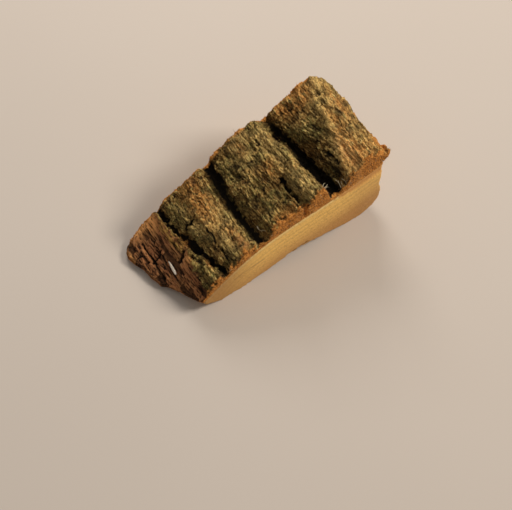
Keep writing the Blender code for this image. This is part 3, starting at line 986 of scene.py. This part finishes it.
# %% Geometry Nodes tree that scatters a shape
def scatter_tree(mask_name, inputs, material, make_shape):
    """A tree that sets a shape on points spread over a surface, by a mask on it."""
    tree = bpy.data.node_groups.new(mask_name, "GeometryNodeTree")
    face = tree.interface
    face.new_socket("Geometry", in_out="INPUT", socket_type="NodeSocketGeometry")
    for name, value in inputs.items():
        kind = "NodeSocketInt" if isinstance(value, int) else "NodeSocketFloat"
        face.new_socket(name, in_out="INPUT", socket_type=kind).default_value = value
    face.new_socket("Geometry", in_out="OUTPUT", socket_type="NodeSocketGeometry")
    given = tree.nodes.new("NodeGroupInput").outputs
    mask = add(tree, "GeometryNodeInputNamedAttribute", {"Name": mask_name}, data_type="FLOAT")
    spread = add(tree, "GeometryNodeDistributePointsOnFaces", {
        "Mesh": given["Geometry"], "Seed": given["Seed"],
        "Density": times(tree, mask.outputs["Attribute"], given["Points per m2"])})
    put = add(tree, "GeometryNodeInstanceOnPoints", {
        "Points": spread.outputs["Points"], "Instance": make_shape(tree, given),
        "Rotation": lie_along_grain(tree, spread.outputs["Normal"], given),
        "Scale": random_number(tree, {"Min": SMALLEST, "Max": LARGEST, "Seed": SIZE_SEED})})
    inputs = {"Geometry": put.outputs[0], "Name": "tint", "Value": random_number(tree, {"Seed": TINT_SEED})}
    stored = add(tree, "GeometryNodeStoreNamedAttribute", inputs, data_type="FLOAT", domain="INSTANCE")
    real = add(tree, "GeometryNodeRealizeInstances", {"Geometry": stored.outputs[0]})
    finished = add(tree, "GeometryNodeSetMaterial", {"Geometry": real.outputs[0], "Material": material})
    tree.links.new(finished.outputs[0], tree.nodes.new("NodeGroupOutput").inputs[0])
    return tree


def scatter(name, tree, values):
    """Runs the tree over the bark and returns what it made as one plain object."""
    holder = link_mesh("holder", bark.data.copy())
    nodes = holder.modifiers.new("scatter", "NODES")
    nodes.node_group = tree
    for socket in tree.interface.items_tree:
        if socket.in_out == "INPUT" and socket.name in values:
            nodes[socket.identifier] = values[socket.name]
    return link_mesh(name, baked(holder))


print("the bark has", len(bark.data.polygons), "squares to scatter over")

# %% Scale material and scales
SCALE_SHAPE = (0.55, 2.1, 0.45)
LIGHT_SCALE = (0.66, 0.45, 0.16)


def scale_material():
    """The weathered bark's colours with their painted shade, darker or lighter by each scale's tint."""
    material, tree, shader = new_material("cork scales", 0.92, 0.12)
    tint = mask_of(tree, "tint")
    body, height = weathered_bark(tree, places(tree))
    darker, lighter = limits(tree, tint, 0.4, 0.0, 0.75), limits(tree, tint, 0.5, 1.0, 0.7)
    body = coated(tree, body, (darker, DARK), (lighter, LIGHT_SCALE))
    # The scales get the same painted shade as the bark.
    finish(tree, shader, add_painted_shade(tree, body), height, 0.1)
    return material


def scale_shape(tree, given):
    """A ball of eight faces, pressed flat and drawn out along the grain."""
    ball = add(tree, "GeometryNodeMeshUVSphere", {"Radius": given["Radius"], "Segments": 4, "Rings": 2})
    inputs = {"Geometry": ball.outputs[0], "Scale": SCALE_SHAPE}
    return add(tree, "GeometryNodeTransform", inputs).outputs[0]


scale_values = {"Points per m2": 4.0e6, "Radius": 0.17 * MM, "Tilt": 0.5, "Seed": 5}
scale_tree = scatter_tree("grains", scale_values, scale_material(), scale_shape)
scales = scatter("cork_scales", scale_tree, scale_values)
print("scales:", len(scales.data.polygons) // 8, "pieces")

# %% [markdown]
# ## Frayed fibres
# The saw pulls fibres out of the bark at its edges. Each is a thin three-sided needle that narrows
# to a point. The same tree scatters them, with another shape and mask.

# %% Fibres
FIBRE_TIP = 0.01 * MM
FIBRE_COLOURS = ((0.16, 0.06, 0.02), (0.34, 0.17, 0.06), (0.62, 0.48, 0.30))
FIBRE_DIRT = (0.03, 0.02, 0.01)


def fibre_material():
    """A matt finish whose colour goes by each fibre's tint."""
    material, tree, shader = new_material("bark fibres", 0.9, 0.2)
    tint, place = mask_of(tree, "tint"), places(tree)
    low, middle, high = FIBRE_COLOURS
    fine = cloudy(tree, place, 2500.0, 2.0)
    colour = coated(
        tree, low,
        (limits(tree, tint, 0.0, 0.55), middle),
        (limits(tree, tint, 0.55, 1.0), high),
        (limits(tree, fine, 0.6, 0.35, 0.6), FIBRE_DIRT),
    )
    finish(tree, shader, colour, fine, 0.1)
    return material


def needle_shape(tree, given):
    needle = add(tree, "GeometryNodeMeshCone", {
        "Vertices": 3, "Side Segments": 2, "Radius Top": FIBRE_TIP,
        "Radius Bottom": given["Radius"], "Depth": given["Length"]})
    return needle.outputs[0]


fibre_values = {"Points per m2": 1.1e6, "Radius": 0.05 * MM, "Length": 1.0 * MM, "Tilt": 0.9, "Seed": 8}
fibre_tree = scatter_tree("fray", fibre_values, fibre_material(), needle_shape)
fibres = scatter("bark_fibres", fibre_tree, fibre_values)
print("fibres:", len(fibres.data.polygons), "faces")

# %% [markdown]
# ## Pale bast hairs
# A few pale hairs of the inner bark hang over the near ends of two furrows. There are too few of them to
# scatter, so each is drawn one by one as a bent, three-sided thread from a root to a tip.

# %% Bast hairs
# Each hair is its root, its tip and its thickness.
HAIRS = (
    ((24.6, -15.4, 28.9), (24.4, -18.7, 28.4), 0.10), ((25.1, -16.4, 29.2), (24.6, -19.0, 28.7), 0.07),
    ((26.0, -16.9, 30.3), (26.4, -19.2, 29.7), 0.09), ((25.5, -17.2, 29.8), (25.3, -19.3, 29.1), 0.06),
    ((17.2, -17.7, 34.3), (18.6, -17.2, 35.2), 0.11), ((17.3, -18.1, 34.1), (18.9, -17.9, 34.9), 0.14),
    ((17.5, -18.5, 33.8), (18.7, -18.9, 34.5), 0.11), ((-6.6, -13.0, 24.1), (-6.3, -15.8, 23.8), 0.09),
    ((-6.3, -15.0, 24.0), (-5.2, -17.0, 24.0), 0.06),
)
HAIR_STEPS = 4
HAIR_COLOURS = ((0.74, 0.58, 0.34), (0.95, 0.84, 0.60))


def loft(build, rings):
    """Joins rings of points to a closed skin."""
    for ring, beside in zip(rings, rings[1:]):
        for i in range(len(ring)):
            j = (i + 1) % len(ring)
            build.faces.new((ring[i], ring[j], beside[j], beside[i]))
    build.faces.new(rings[0][::-1])
    build.faces.new(rings[-1])


def build_hairs():
    build = bmesh.new()
    for number, (root, tip, thickness) in enumerate(HAIRS):
        root, tip = Vector(root), Vector(tip)
        side = (tip - root).cross(Vector((0.0, 0.0, 1.0))).normalized()
        bow = (0.35 if number % 2 else -0.25) * side + Vector((0.0, 0.0, 0.35))
        rings = []
        for step in range(HAIR_STEPS + 1):
            share = step / HAIR_STEPS
            middle = root.lerp(tip, share) + bow * math.sin(math.pi * share)
            width = thickness * (1.15 - share)
            corners = (side * width, Vector((0.0, 0.0, width)), side * -width)
            rings.append([build.verts.new((middle + corner) * MM) for corner in corners])
        loft(build, rings)
    bmesh.ops.recalc_face_normals(build, faces=build.faces)
    mesh = mesh_of(build, "bast hairs")
    material, tree, shader = new_material("bast hair", 0.7, 0.2)
    place = places(tree)
    colour = mix(tree, strands(tree, place, 0.2, 2.0), *HAIR_COLOURS)
    finish(tree, shader, colour, strands(tree, place, 0.1, 1.0), 0.03)
    mesh.materials.append(material)
    return link_mesh("bast_hairs", mesh)


hairs = build_hairs()
print("bast hairs:", len(HAIRS), "with", len(hairs.data.polygons), "faces")

# %% [markdown]
# ## The pale chip
# One thin chip of clean wood lies on the flaked patch. It is lofted from a few listed cross sections, so that
# it is thin, slightly bent and pointed at both ends.

# %% Pale chip
CHIP_LINE = (
    (-35.2, 0.4, 8.0), (-35.3, -0.9, 8.1), (-35.5, -2.5, 8.0), (-35.6, -4.2, 7.7), (-35.7, -5.4, 7.3))
CHIP_WIDTHS = (0.08, 0.28, 0.42, 0.44, 0.26)
CHIP_TILT = 0.75
CHIP_COLOURS = ((0.78, 0.64, 0.48), (0.95, 0.88, 0.76))


def build_chip():
    build = bmesh.new()
    rings = []
    for (x, y, z), width in zip(CHIP_LINE, CHIP_WIDTHS):
        corners = ((-width, -0.16), (0.0, -0.20), (width, -0.16), (width, 0.12), (0.0, 0.24), (-width, 0.12))
        rings.append([build.verts.new(Vector((x + a, y, z + b + a * CHIP_TILT)) * MM) for a, b in corners])
    loft(build, rings)
    bmesh.ops.recalc_face_normals(build, faces=build.faces)
    mesh = mesh_of(build, "pale chip")
    rough = link_mesh("rough chip", mesh)
    rounding = rough.modifiers.new("rounding", "SUBSURF")
    rounding.levels = rounding.render_levels = 2
    material, tree, shader = new_material("pale chip", 0.6, 0.3)
    place = places(tree)
    colour = mix(tree, strands(tree, place, 0.18, 4.0), *CHIP_COLOURS)
    finish(tree, shader, colour, strands(tree, place, 0.2, 4.0), 0.06)
    mesh.materials.append(material)
    return link_mesh("pale_chip", baked(rough))


chip = build_chip()
print("chip:", len(chip.data.polygons), "faces")

# %% [markdown]
# ## Floor, light and colour handling
# The chunk stands on a plain pale floor. One large soft light from the right makes the ridges read,
# and the pale surroundings fill the shadows. The view transform is the plain one, so that a colour
# in a material is the colour in the picture.

# %% Floor and light
FLOOR_Z = -0.05 * MM
FLOOR_HALF = 1.5
FLOOR_COLOURS = ((0.555, 0.48, 0.415), (0.58, 0.505, 0.44))
# Each light is its name, place, size, power and colour.
LIGHTS = (
    ("key", (1.00, -0.52, 1.00), 0.42, 16.5, (1.0, 0.95, 0.87)),
    ("fill", (0.17, 0.36, 0.34), 0.24, 1.25, (1.0, 0.97, 0.93)),
)
SURROUNDINGS, SURROUNDINGS_STRENGTH = (1.0, 0.97, 0.93, 1.0), 0.31


def build_floor():
    build = bmesh.new()
    bmesh.ops.create_grid(build, x_segments=1, y_segments=1, size=FLOOR_HALF)
    mesh = mesh_of(build, "floor")
    floor = link_mesh("floor", mesh)
    floor.location.z = FLOOR_Z
    material, tree, shader = new_material("floor", 0.8, 0.2)
    soft = cloudy(tree, places(tree), 9.0, 2.0)
    tree.links.new(mix(tree, soft, *FLOOR_COLOURS), shader.inputs["Base Color"])
    mesh.materials.append(material)
    return floor


def set_lights():
    for name, place, size, power, colour in LIGHTS:
        data = bpy.data.lights.new(name, "AREA")
        data.size, data.energy, data.color = size, power, colour
        lamp = bpy.data.objects.new(name, data)
        lamp.location = place
        lamp.rotation_euler = Vector(place).to_track_quat("Z", "Y").to_euler()
        bpy.context.scene.collection.objects.link(lamp)
    world = bpy.data.worlds.new("studio")
    world.use_nodes = True
    backdrop = world.node_tree.nodes["Background"]
    backdrop.inputs["Color"].default_value = SURROUNDINGS
    backdrop.inputs["Strength"].default_value = SURROUNDINGS_STRENGTH
    bpy.context.scene.world = world
    bpy.context.scene.view_settings.view_transform = "Standard"


floor = build_floor()
set_lights()
print("lights:", [light[0] for light in LIGHTS])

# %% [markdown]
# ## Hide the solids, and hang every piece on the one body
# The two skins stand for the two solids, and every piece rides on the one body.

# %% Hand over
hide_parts("bark")
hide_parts("wood")
slots = ((bark, "bark"), (wood, "wood"), (scales, "bark"), (fibres, "bark"), (hairs, "bark"), (chip, "wood"))
for piece, slot in slots:
    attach(piece, "root")
